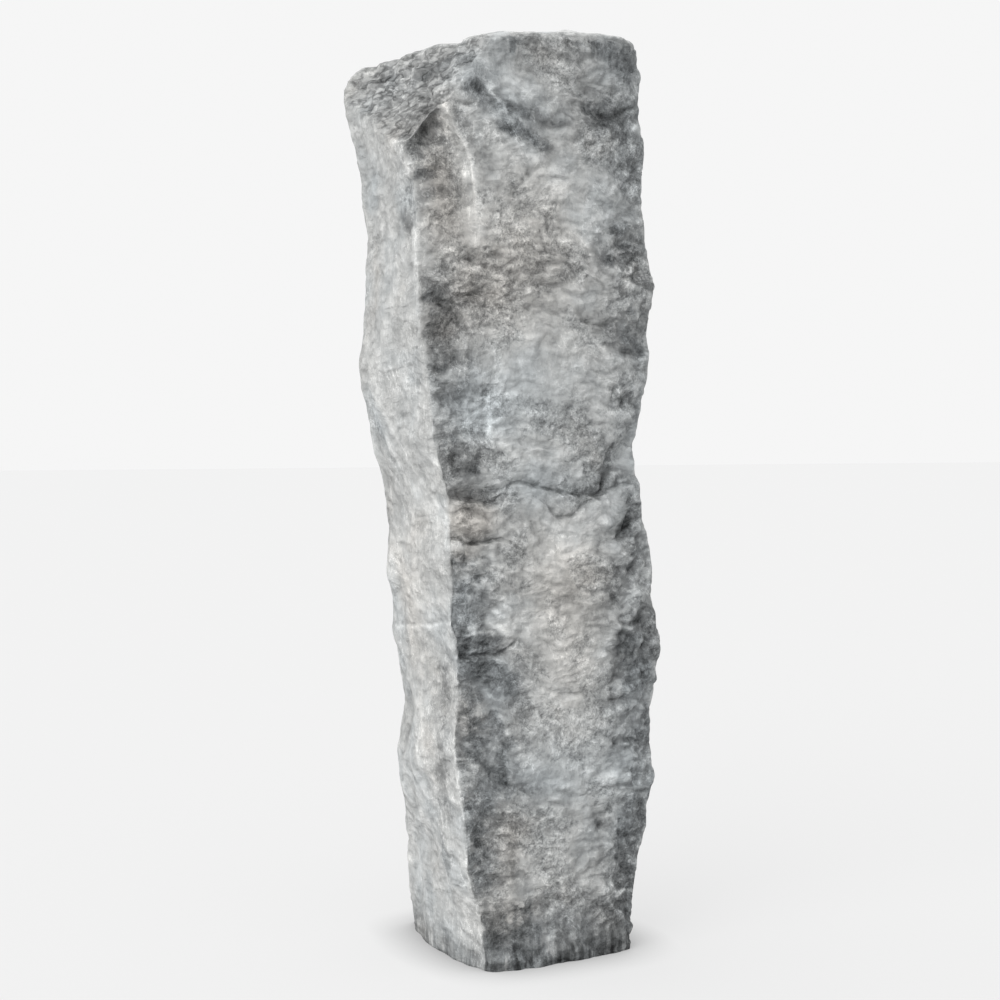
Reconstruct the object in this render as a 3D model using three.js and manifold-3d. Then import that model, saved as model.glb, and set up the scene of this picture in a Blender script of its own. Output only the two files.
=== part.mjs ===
// A standing stone: one tall, natural slab of grey stone, broken on every side and cut off flat at
// ground level. Millimetres, +Z up. The broad front face looks along -Y, the lit narrow face along -X.
// The stone is lofted from rings between seven arrises, its top and its large scars are cut with rough
// slabs, and it is then centred on the bottom of its bounding box.

import * as THREE from 'three';
import { mergeVertices } from 'three/addons/utils/BufferGeometryUtils.js';
import Module from 'manifold-3d';

const wasm = await Module();
wasm.setup();

// ---- Driving dimensions ----

const LOFT_HEIGHT = 2300;          // height of the loft before its top is broken off
const RING_COUNT = 58;             // rings up the loft
const FOOT_CENTRE = [180, 210];    // where the fans that close the loft meet, at its bottom
const PEAK_CENTRE = [130, 200];    // and at its top

// Each arris is a list of [height, x, y], with x = 0 and y = 0 at the near bottom corner.
const ARRISES = {
  near: [
    [0, 0, 0], [75, -15, 0], [145, -23, 0], [215, -53, 0], [310, -55, 0], [410, -69, 0], [515, -87, 0],
    [610, -82, 0], [730, -82, 0], [825, -97, 0], [920, -91, 0], [1010, -100, 0], [1095, -100, 0],
    [1165, -121, 0], [1245, -142, 0], [1350, -148, 0], [1480, -168, 2], [1575, -176, 5],
    [1690, -168, 5], [1820, -177, 5], [1880, -192, 0], [1920, -203, 0], [2300, -210, 0],
  ],
  frontRight: [
    [0, 270, 2], [100, 290, 0], [250, 335, -4], [400, 350, -6], [600, 345, 2], [750, 370, -4],
    [900, 360, 0], [1050, 330, -6], [1200, 320, 4], [1330, 335, 0], [1600, 360, -4], [1800, 335, 0],
    [2000, 325, 2], [2150, 322, 5], [2300, 280, 10],
  ],
  right: [
    [0, 383, 2], [50, 397, 12], [120, 411, 25], [190, 431, 35], [255, 459, 45], [325, 468, 50],
    [390, 486, 50], [480, 473, 50], [570, 467, 50], [640, 489, 50], [740, 493, 50], [845, 477, 50],
    [945, 475, 52], [1050, 442, 48], [1120, 438, 45], [1155, 433, 45], [1190, 417, 48],
    [1225, 419, 50], [1258, 436, 50], [1330, 443, 50], [1430, 464, 52], [1530, 462, 52],
    [1600, 478, 55], [1665, 466, 50], [1770, 453, 50], [1810, 439, 50], [1870, 442, 50],
    [1940, 447, 50], [2000, 430, 45], [2070, 430, 40], [2110, 427, 35], [2150, 425, 30],
    [2180, 417, 28], [2220, 358, 25], [2300, 300, 25],
  ],
  rightRear: [
    [0, 402, 150], [150, 428, 170], [300, 438, 150], [500, 466, 185], [720, 482, 160], [930, 462, 195],
    [1100, 428, 150], [1220, 412, 170], [1400, 450, 150], [1600, 464, 195], [1800, 432, 150],
    [2000, 427, 175], [2150, 403, 150], [2300, 350, 150],
  ],
  backRight: [
    [0, 345, 400], [200, 368, 418], [430, 400, 398], [680, 415, 424], [880, 392, 410], [1130, 366, 388],
    [1380, 384, 408], [1620, 404, 392], [1880, 368, 392], [2100, 360, 366], [2300, 335, 360],
  ],
  backLeft: [
    [0, 5, 465], [50, -14, 450], [120, -17, 440], [230, -23, 440], [300, -28, 440], [450, -60, 435],
    [520, -53, 435], [590, -37, 430], [690, -54, 430], [765, -71, 430], [835, -66, 430],
    [900, -82, 430], [1075, -81, 428], [1145, -85, 425], [1210, -111, 425], [1285, -124, 422],
    [1320, -134, 420], [1385, -153, 420], [1455, -149, 420], [1590, -139, 418], [1735, -135, 418],
    [1830, -149, 415], [1935, -161, 412], [1970, -176, 410], [2060, -198, 408], [2120, -203, 405],
    [2300, -203, 400],
  ],
  leftRear: [
    [0, -24, 335], [60, -33, 330], [160, -35, 325], [300, -51, 320], [450, -81, 330], [590, -61, 320],
    [700, -75, 325], [830, -85, 320], [900, -100, 325], [1050, -99, 330], [1145, -104, 330],
    [1250, -141, 335], [1385, -173, 335], [1500, -165, 330], [1700, -155, 325], [1850, -171, 325],
    [1950, -190, 325], [2060, -214, 325], [2300, -214, 320],
  ],
};

// The sides between the arrises, going round: how many steps each has, and how far its middle stands
// proud of a straight line. The left side swells more at its foot, up to FOOT_HEIGHT.
const SIDES = [
  { from: 'near', to: 'frontRight', steps: 15, crown: 6 },
  { from: 'frontRight', to: 'right', steps: 4, crown: 5 },
  { from: 'right', to: 'rightRear', steps: 4, crown: 8 },
  { from: 'rightRear', to: 'backRight', steps: 7, crown: 14 },
  { from: 'backRight', to: 'backLeft', steps: 13, crown: 22 },
  { from: 'backLeft', to: 'leftRear', steps: 4, crown: 6 },
  { from: 'leftRear', to: 'near', steps: 10, crown: 8, footCrown: 22 },
];
const FOOT_HEIGHT = 260;

// Natural unevenness of the broken surface: [wavelength, height], large to small.
const RELIEF = [[230, 9], [110, 6], [60, 3]];
const ARRIS_RELIEF = 0.35;   // share of the relief left at an arris, which stays where it is drawn
const SOLE_HEIGHT = 60;      // the relief fades out over this height above the ground cut
const WEAR = 3;              // how far weather has worn every side back

// Rough breaks: a plane through a point, everything on the side that its normal points to is broken off.
const BREAKS = [
  { name: 'crown', at: [230, 90, 2200], normal: [0.02, 0.04, 1], size: [1000, 800] },
  { name: 'left shoulder', at: [-60, 250, 2158], normal: [-0.18, 0, 1], size: [900, 800] },
  { name: 'left end', at: [-175, 390, 2125], normal: [-0.84, 0.02, 1], size: [900, 800] },
  { name: 'front lip', at: [108, 0, 2163], normal: [-0.10, -0.47, 1], size: [560, 300] },
  { name: 'back lip', at: [120, 400, 2165], normal: [0.05, 0.42, 1], size: [900, 400] },
  { name: 'broken corner', at: [-109, 0, 1998], normal: [-0.758, -0.311, 0.574], size: [900, 900] },
];
const BREAK_STEP = 55;       // grid of a rough break
const BREAK_THICK = 600;     // how much a break can take away
const BREAK_RELIEF = 0.6;    // share of the relief on a break

// The scar of the long flake that split off the front-left arris, under the broken corner: its outline
// in [x, height], its floor sinking towards the top, with a sharp ridge along its right-hand side.
const SCAR = {
  outline: [
    [-320, 1400], [-100, 1400], [-60, 1560], [-14, 1660], [-34, 1760], [-44, 1850], [-62, 1905],
    [-85, 1945], [-108, 1996], [-195, 1895], [-320, 1850],
  ],
  lowerEnd: 1480,
  slope: 0.085,
};
const FLAKE_REACH = 200;     // how far in front of the stone the flake is drawn out

// Ledges on the front face, where a slice has dropped away under a crack: the crack runs through
// [x, height] points, and the slice is deepest there and runs out over the fall, down or, where the
// fall is negative, up.
const LEDGES = [
  { line: [[60, 1130], [100, 1135], [200, 1103], [262, 1095], [345, 1150]], depth: 14, fall: 90 },
  { line: [[-95, 985], [-10, 980], [60, 995], [130, 965]], depth: 10, fall: 60 },
  { line: [[-110, 742], [-30, 735], [40, 745], [75, 775]], depth: 12, fall: -95 },
];
const SLICE_REACH = 60;      // how far in front of the stone a slice is drawn out

// ---- Shape ----

const hash = (i, j, k) => {
  const value = Math.sin(i * 127.1 + j * 311.7 + k * 74.7) * 43758.5453;
  return value - Math.floor(value);
};

const ease = (t) => t * t * (3 - 2 * t);

// Smooth noise between -1 and 1 on a lattice of unit cells.
function noise(x, y, z) {
  const [i, j, k] = [Math.floor(x), Math.floor(y), Math.floor(z)];
  const [u, v, w] = [ease(x - i), ease(y - j), ease(z - k)];
  let sum = 0;
  for (let corner = 0; corner < 8; corner += 1) {
    const [di, dj, dk] = [corner & 1, (corner >> 1) & 1, corner >> 2];
    const weight = (di ? u : 1 - u) * (dj ? v : 1 - v) * (dk ? w : 1 - w);
    sum += weight * hash(i + di, j + dj, k + dk);
  }
  return 2 * sum - 1;
}

function relief(x, y, z) {
  return RELIEF.reduce((sum, [wave, height]) => sum + height * noise(x / wave, y / wave, z / wave), 0);
}

// The point of an arris at a height, straight between its listed points.
function arrisAt(name, height) {
  const list = ARRISES[name];
  const above = Math.max(1, list.findIndex(([h]) => h >= height));
  const [low, high] = [list[above - 1], list[above]];
  const t = (height - low[0]) / (high[0] - low[0]);
  return [low[1] + t * (high[1] - low[1]), low[2] + t * (high[2] - low[2])];
}

// One ring of the loft: walks round the sides, each crowned and roughened along its own normal.
function ring(height) {
  const points = [];
  const sole = Math.min(1, height / SOLE_HEIGHT);
  const foot = Math.max(0, 1 - height / FOOT_HEIGHT);
  for (const { from, to, steps, crown, footCrown = crown } of SIDES) {
    const [ax, ay] = arrisAt(from, height);
    const [bx, by] = arrisAt(to, height);
    const length = Math.hypot(bx - ax, by - ay);
    const [nx, ny] = [(by - ay) / length, (ax - bx) / length];
    const swell = crown + foot * (footCrown - crown);
    for (let i = 0; i < steps; i += 1) {
      const t = i / steps;
      const middle = Math.sin(Math.PI * t);
      const [x, y] = [ax + t * (bx - ax), ay + t * (by - ay)];
      const rough = sole * (ARRIS_RELIEF + (1 - ARRIS_RELIEF) * middle) * relief(x, y, height);
      const out = swell * middle + rough - sole * WEAR;
      points.push([x + nx * out, y + ny * out, height]);
    }
  }
  return points;
}

function geometryFrom(vertices, triangles) {
  const geometry = new THREE.BufferGeometry();
  geometry.setAttribute('position', new THREE.Float32BufferAttribute(vertices.flat(), 3));
  geometry.setIndex(triangles.flat());
  return geometry;
}

// The uncut stone: rings joined by quads, and closed by a fan at the bottom and at the top.
function loftGeometry() {
  const vertices = [];
  const triangles = [];
  let around = 0;
  for (let r = 0; r < RING_COUNT; r += 1) {
    const points = ring(LOFT_HEIGHT * r / (RING_COUNT - 1));
    around = points.length;
    vertices.push(...points);
  }
  for (let r = 0; r < RING_COUNT - 1; r += 1) {
    for (let i = 0; i < around; i += 1) {
      const a = r * around + i;
      const b = r * around + (i + 1) % around;
      triangles.push([a, b, b + around], [a, b + around, a + around]);
    }
  }
  const top = (RING_COUNT - 1) * around;
  const foot = vertices.push([...FOOT_CENTRE, 0]) - 1;
  const peak = vertices.push([...PEAK_CENTRE, LOFT_HEIGHT]) - 1;
  for (let i = 0; i < around; i += 1) {
    const next = (i + 1) % around;
    triangles.push([foot, next, i], [peak, top + i, top + next]);
  }
  return geometryFrom(vertices, triangles);
}

// A slab whose rough underside lies on the plane of a break.
function breakGeometry({ at, normal, size: [width, length] }) {
  const [across, along] = [Math.round(width / BREAK_STEP), Math.round(length / BREAK_STEP)];
  const slab = new THREE.BoxGeometry(width, length, BREAK_THICK, across, along, 1);
  slab.translate(0, 0, BREAK_THICK / 2);
  const turn = new THREE.Quaternion().setFromUnitVectors(
    new THREE.Vector3(0, 0, 1), new THREE.Vector3(...normal).normalize(),
  );
  slab.applyQuaternion(turn);
  slab.translate(...at);
  const up = new THREE.Vector3(0, 0, 1).applyQuaternion(turn);
  const start = new THREE.Vector3(...at);
  const position = slab.attributes.position;
  const point = new THREE.Vector3();
  for (let i = 0; i < position.count; i += 1) {
    point.fromBufferAttribute(position, i);
    if (point.clone().sub(start).dot(up) < BREAK_THICK / 2) {
      point.addScaledVector(up, BREAK_RELIEF * relief(point.x, point.y, point.z));
      position.setXYZ(i, point.x, point.y, point.z);
    }
  }
  return slab;
}

// The flake that left the scar: its outline drawn out towards the front, with a sloping floor.
function flakeGeometry({ outline, lowerEnd, slope }) {
  const shape = new THREE.Shape(outline.map(([x, z]) => new THREE.Vector2(x, z)));
  const flake = new THREE.ExtrudeGeometry(shape, { depth: FLAKE_REACH, bevelEnabled: false });
  const position = flake.attributes.position;
  for (let i = 0; i < position.count; i += 1) {
    const [x, z, depth] = [position.getX(i), position.getY(i), position.getZ(i)];
    const floor = slope * (z - lowerEnd);
    position.setXYZ(i, x, floor - depth, z);
  }
  return flake;
}

// The slice missing at a ledge: a wedge that follows the crack, deepest at it, and runs out over the fall.
function sliceGeometry({ line, depth, fall }) {
  const vertices = [];
  const triangles = [];
  for (const [x, z] of line) {
    vertices.push([x, -SLICE_REACH, z], [x, depth, z], [x, -SLICE_REACH, z - fall]);
  }
  for (let i = 0; i < line.length - 1; i += 1) {
    const a = 3 * i;
    for (const [p, q] of [[0, 1], [1, 2], [2, 0]]) {
      triangles.push([a + p, a + q, a + 3 + q], [a + p, a + 3 + q, a + 3 + p]);
    }
  }
  const end = 3 * (line.length - 1);
  triangles.push([0, 2, 1], [end, end + 1, end + 2]);
  const turned = fall > 0 ? triangles.map(([a, b, c]) => [a, c, b]) : triangles;
  return geometryFrom(vertices, turned);
}

// ---- Solids ----

function solidOf(geometry) {
  const bare = geometry.clone();
  bare.deleteAttribute('normal');
  bare.deleteAttribute('uv');
  const merged = mergeVertices(bare);
  return new wasm.Manifold(new wasm.Mesh({
    numProp: 3,
    vertProperties: new Float32Array(merged.attributes.position.array),
    triVerts: new Uint32Array(merged.index.array),
  }));
}

function geometryOf(solid) {
  const { vertProperties, triVerts } = solid.getMesh();
  const geometry = new THREE.BufferGeometry();
  geometry.setAttribute('position', new THREE.BufferAttribute(new Float32Array(vertProperties), 3));
  geometry.setIndex(new THREE.BufferAttribute(new Uint32Array(triVerts), 1));
  geometry.computeVertexNormals();
  return geometry;
}

function stoneGeometry() {
  let solid = solidOf(loftGeometry());
  const missing = [
    ...BREAKS.map(breakGeometry),
    flakeGeometry(SCAR),
    ...LEDGES.map(sliceGeometry),
  ];
  for (const geometry of missing) {
    solid = solid.subtract(solidOf(geometry));
  }
  const geometry = geometryOf(solid);
  geometry.computeBoundingBox();
  const centre = geometry.boundingBox.getCenter(new THREE.Vector3());
  geometry.translate(-centre.x, -centre.y, 0);
  return geometry;
}

const stone = new THREE.Mesh(
  stoneGeometry(),
  new THREE.MeshStandardMaterial({ color: 0x9b9c9a, roughness: 0.88, metalness: 0 }),
);
stone.name = 'stone';

const standingStone = new THREE.Group();
standingStone.add(stone);

export default standingStone;
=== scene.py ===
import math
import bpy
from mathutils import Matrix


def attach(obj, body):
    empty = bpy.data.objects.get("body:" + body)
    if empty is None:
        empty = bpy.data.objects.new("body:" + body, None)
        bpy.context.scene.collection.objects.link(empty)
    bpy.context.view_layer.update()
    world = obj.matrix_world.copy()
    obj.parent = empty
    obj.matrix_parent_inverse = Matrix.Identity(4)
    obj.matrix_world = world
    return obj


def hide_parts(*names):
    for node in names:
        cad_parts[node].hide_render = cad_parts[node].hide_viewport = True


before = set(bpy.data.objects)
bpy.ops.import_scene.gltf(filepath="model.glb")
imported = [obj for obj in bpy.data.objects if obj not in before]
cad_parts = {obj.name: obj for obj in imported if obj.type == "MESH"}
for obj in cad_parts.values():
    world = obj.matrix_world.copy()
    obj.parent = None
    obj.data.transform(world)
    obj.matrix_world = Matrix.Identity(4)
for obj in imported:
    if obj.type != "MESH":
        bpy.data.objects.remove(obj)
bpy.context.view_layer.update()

# A standing stone: a tall slab of split grey rock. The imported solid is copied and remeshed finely, and its
# lumps, ledges, cracks and hollows are pressed into the copy. Metres, +Z up, front face towards -Y.
# The marks below are drawn in millimetres.

from types import SimpleNamespace

import bpy
import numpy as np
from mathutils import Vector, noise

noise.seed_set(5)        # otherwise noise_vector follows the clock, and no two runs are the same
MM = 0.001

# ---- Sizes of the skin ----

SKIN_VOXEL = 0.0106      # cell of the even skin that the relief is pressed into
ROOT_DEPTH = 0.05        # how far the foot runs on below the ground cut while the skin is made
FINE_BAND = 7            # how far from a crack or a ledge the faces are halved once more, in millimetres
LEDGE_EDGE = 5           # how sharply the rock below a ledge stands out, in millimetres
LEDGE_END = 30           # how far a ledge takes to fade at its ends, in millimetres
DEEP_LEDGE = 15          # depth of a ledge whose painted shade is as dark as a fold's can be, in millimetres
DEEP_FOLD = 7            # depth of a fold whose painted shade is fully dark, in millimetres
WEIGHT_STEPS = 1500      # steps in a vertex group's weight
DEEPEST = 0.040          # the furthest that any place of the skin is pressed
WANDER = 0.005           # how far a crack or the edge of a patch wanders from its drawn line
WANDER_WAVE = 0.045
BEND = 0.018             # how far the lumps are bent out of their even lie
BEND_WAVE = 0.10
SWELL = 0.006            # the skin is swollen by this much first, so that the relief stays around the solid
SHEET_GAP = 0.02         # gap between the sides when the skin is laid out flat
DARK_FOOT_TOP = 0.17          # height to which the rock darkens above the ground
DARKEST_FOOT_TOP = 0.06

# Width and depth of the lumps and chips.
BROAD_WAVE, BROAD_DEPTH = 0.170, 0.011
MIDDLING_WAVE, MIDDLING_DEPTH = 0.075, 0.011
SMALL_WAVE, SMALL_DEPTH = 0.034, 0.005
CHIP_WAVE, CHIP_DEPTH = 0.095, 0.007
CORNER_WAVE, CORNER_DEPTH = 0.038, 0.009
ARRIS_WAVE, ARRIS_DEPTH = 0.085, 0.014

# The way that each side faces, and which axis runs across it.
OUTWARD = {"front": (0, -1, 0), "left": (-1, 0, 0), "right": (1, 0, 0), "back": (0, 1, 0),
           "corner": (-0.76, -0.31, 0.57)}
ARRIS_OUT = (-0.82, -0.57, 0)
ACROSS = {"front": 0, "back": 0, "corner": 0, "left": 1, "right": 1}

# ---- Marks: (x, height) on the front, corner and back, (y, height) on the sides, from the near bottom
# corner, all in millimetres ----

# Lines that more than one mark follows.
MIDDLE_LEDGE = [(45, 1108), (55, 1125), (66, 1137), (90, 1139), (130, 1131), (160, 1121), (200, 1112),
                (250, 1106), (298, 1107), (314, 1120), (321, 1141), (336, 1154), (352, 1169)]
LIP_BELOW = [(137, 1098), (152, 1090), (163, 1076), (176, 1063), (190, 1058), (222, 1060), (237, 1072),
             (252, 1086), (275, 1092), (298, 1101)]
BROWN_BLOCK_FOOT = [(-102, 1013), (-70, 1010), (-60, 1003), (-10, 1001), (8, 1003), (18, 1008), (40, 1004),
                    (62, 997), (85, 985), (101, 976)]
DARK_BLOCK_FOOT = [(-85, 748), (-68, 741), (-45, 737), (0, 737), (30, 738), (48, 744), (62, 754), (74, 768)]
EDGE_LEDGE = [(300, 985), (335, 998), (365, 1008), (388, 1022), (404, 1045), (407, 1075)]
EDGE_STEP = [(314, 1116), (345, 1120), (370, 1130), (402, 1136)]
LOW_STEP = [(188, 639), (215, 640), (250, 637), (287, 635)]
HIGH_STEP = [(235, 1524), (285, 1510), (312, 1508), (340, 1518)]
SCAR_FOOT = [(-96, 1572), (-60, 1566), (-20, 1572), (22, 1582)]
SCAR_BROW = [(-66, 1650), (-30, 1657), (12, 1664), (50, 1662)]
LEFT_SPLIT = [(4, 826), (90, 812), (184, 802), (280, 790), (377, 777)]
RIGHT_LEDGE = [(50, 1136), (110, 1124), (180, 1130), (240, 1112), (330, 1122)]
BACK_LEDGE = [(40, 1238), (110, 1226), (190, 1246), (270, 1234), (350, 1250)]
BACK_STEP = [(-80, 902), (-20, 892), (50, 904), (120, 886)]
SCAR_RIDGE = [(-106, 1992), (-98, 1968), (-83, 1942), (-67, 1916), (-53, 1893), (-44, 1860), (-40, 1820),
              (-38, 1795)]
CORNER_CREST = [(-100, 2036), (-75, 2060), (-58, 2095), (-34, 2128)]

# Ledges: the rock above the line sinks back down to it, and the rock below stands out: depth, reach, line.
LEDGES = {
    "front": [
        (13, 30, MIDDLE_LEDGE),
        (9, 20, LIP_BELOW),
        (14, 26, [(-100, 1106), (-66, 1107), (-40, 1103), (-12, 1098), (3, 1092), (22, 1097), (32, 1112)]),
        (9, 18, BROWN_BLOCK_FOOT),
        (4, 10, [(-68, 1051), (-48, 1049), (-28, 1052)]),
        (6, 12, [(-84, 955), (-64, 951), (-40, 956), (-20, 964)]),
        (15, 26, DARK_BLOCK_FOOT),
        (9, 20, EDGE_LEDGE),
        (8, 18, EDGE_STEP),
        (8, 18, [(345, 2137), (362, 2120), (400, 2116)]),
        (5, 14, LOW_STEP),
        (8, 16, HIGH_STEP),
        (8, 20, SCAR_FOOT),
        (8, 18, SCAR_BROW),
    ],
    "left": [
        (1.5, 10, LEFT_SPLIT),
    ],
    "right": [
        (9, 22, RIGHT_LEDGE),
        (7, 18, [(110, 606), (170, 598), (230, 610), (300, 600)]),
    ],
    "back": [
        (9, 24, BACK_LEDGE),
        (8, 20, BACK_STEP),
        (8, 20, [(90, 1690), (170, 1704), (240, 1690), (310, 1702)]),
    ],
}

# Cracks: depth, half width, darkness, line. The darkness is painted shade inside the crack.
CRACKS = {
    "front": [
        (3, 3.4, 0.9, MIDDLE_LEDGE[:9]),
        (7, 6.5, 1, [(285, 1105), (298, 1108), (314, 1120), (321, 1141), (336, 1154), (352, 1169)]),
        (4, 8, 0.7, [(350, 1168), (343, 1190), (343, 1222)]),
        (3, 3.2, 0.8, [(118, 1106)] + LIP_BELOW[1:]),
        (3, 3.4, 0.7, EDGE_STEP),
        (3, 3, 0.7, [(-66, 1109), (-40, 1105), (-12, 1100), (3, 1094), (22, 1099), (32, 1113)]),
        (3, 3.4, 0.9, BROWN_BLOCK_FOOT[:8]),
        (3, 2.8, 0.6, BROWN_BLOCK_FOOT[7:]),
        (5, 3.4, 1, DARK_BLOCK_FOOT),
        (2, 2.4, 0.5, LOW_STEP),
        (2, 2.4, 0.4, [(172, 206), (196, 204), (222, 208)]),
    ],
    "left": [
        (1.5, 2.4, 0.3, LEFT_SPLIT),
        (2, 2.8, 0.35, [(221, 1010), (200, 996), (174, 981), (147, 965)]),
        (2, 2.8, 0.35, [(16, 222), (50, 205), (79, 186), (105, 160), (120, 120)]),
    ],
    "right": [
        (4, 4, 0.8, RIGHT_LEDGE[1:]),
    ],
    "back": [
        (4, 4, 0.8, BACK_LEDGE[1:]),
        (3, 3.6, 0.6, BACK_STEP[:3]),
        (3, 3.6, 0.6, [(190, 600), (165, 530), (172, 460), (140, 390)]),
    ],
}

# Folds: creases with broad soft flanks: depth, half width, line.
FOLDS = {
    "front": [
        (10, 14, [(345, 640), (350, 700), (352, 730), (358, 765), (380, 790)]),
        (10, 14, [(380, 788), (420, 806), (446, 822), (470, 836)]),
        (8, 12, [(345, 845), (332, 870), (338, 900), (360, 930)]),
        (11, 14, EDGE_LEDGE[1:]),
        (7, 12, [(372, 915), (400, 926), (440, 924)]),
        (6, 10, [(262, 950), (290, 962), (300, 985), (297, 1010)]),
        (8, 14, [(315, 500), (352, 508), (392, 513), (430, 500)]),
        (7, 12, [(318, 655), (340, 640), (346, 615), (318, 602)]),
        (7, 12, [(385, 735), (420, 730), (460, 742)]),
        (7, 12, [(370, 430), (400, 412), (430, 420)]),
        (7, 12, [(290, 335), (305, 310), (335, 300), (360, 270)]),
        (8, 12, [(350, 235), (380, 210), (410, 205)]),
        (5, 9, [(90, 726), (103, 716), (122, 712), (145, 714)]),
        (5, 10, [(95, 128), (128, 146), (160, 156), (205, 166)]),
        (6, 10, [(250, 223), (285, 231), (312, 226)]),
        (6, 10, SCAR_BROW),
        (5, 9, [(52, 1608), (80, 1598), (130, 1594), (170, 1603), (196, 1622), (206, 1645)]),
        (8, 12, SCAR_FOOT),
        (6, 10, [(22, 1572), (60, 1560), (98, 1551), (132, 1551), (156, 1563)]),
        (4, 8, [(20, 1640), (45, 1618), (54, 1606)]),
        (4, 10, [(60, 1318), (95, 1322), (130, 1316), (150, 1304)]),
        (6, 10, HIGH_STEP),
        (6, 10, [(300, 1470), (345, 1455), (385, 1445), (420, 1452)]),
        (8, 12, [(300, 1690), (330, 1665), (350, 1650)]),
        (8, 12, [(340, 1745), (362, 1725), (372, 1700), (400, 1690)]),
        (7, 14, [(10, 2036), (60, 2005), (95, 1984), (140, 1968), (200, 1972)]),
        (8, 14, [(250, 2050), (290, 2010), (340, 2000), (370, 2020)]),
        (6, 12, [(60, 430), (20, 460), (-20, 510)]),
        (6, 12, [(-60, 700), (-20, 680), (20, 660), (60, 640)]),
        (6, 12, [(-110, 1205), (-75, 1175), (-30, 1165)]),
        (6, 12, [(-120, 1390), (-85, 1420), (-65, 1460)]),
        (6, 12, [(-140, 1560), (-110, 1540), (-80, 1500)]),
        (5, 10, [(-30, 330), (5, 290), (-10, 245)]),
    ],
    "left": [
        (5, 14, [(340, 1330), (290, 1230), (250, 1170), (220, 1120)]),
        (4, 12, [(100, 1770), (60, 1700), (40, 1620)]),
        (4, 12, [(330, 640), (300, 560), (330, 480)]),
    ],
    "right": [
        (8, 15, [(90, 1560), (150, 1520), (240, 1532), (320, 1500)]),
        (8, 15, [(110, 860), (180, 892), (270, 868)]),
        (8, 15, [(100, 330), (180, 298), (290, 322)]),
        (7, 13, [(130, 1960), (200, 1900), (290, 1890)]),
    ],
    "back": [
        (8, 15, [(40, 1930), (120, 1962), (220, 1938), (310, 1980)]),
        (8, 15, [(-90, 1470), (-10, 1446), (90, 1484)]),
        (8, 15, [(170, 750), (250, 728), (330, 762)]),
        (8, 15, [(-80, 252), (-20, 228), (60, 256)]),
        (7, 13, [(220, 330), (270, 296), (340, 310)]),
    ],
}
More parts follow.
